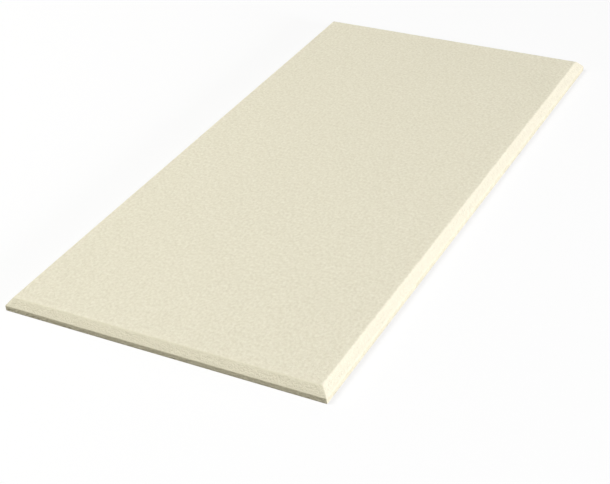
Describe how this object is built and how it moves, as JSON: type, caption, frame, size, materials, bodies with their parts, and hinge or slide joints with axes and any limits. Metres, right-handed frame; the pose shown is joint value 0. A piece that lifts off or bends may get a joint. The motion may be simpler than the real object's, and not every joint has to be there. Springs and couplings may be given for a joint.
{
  "type": "polyester acoustic panel",
  "caption": "Flat rectangular polyester felt board for walls and ceilings, with bevelled, mitred edges above a square lip and a plain flat back. It soaks up sound in a room.",
  "frame": {"origin": "centre of the flat wall face", "axes": "+Z out of the wall face towards the room face, +Y along the length, +X across the width"},
  "size_m": [0.6, 1.2, 0.024],
  "materials": {
    "polyester_felt": "matt needled felt, cream, faintly mottled"
  },
  "bodies": {
    "root": {"panel": "polyester_felt"}
  },
  "joints": []
}
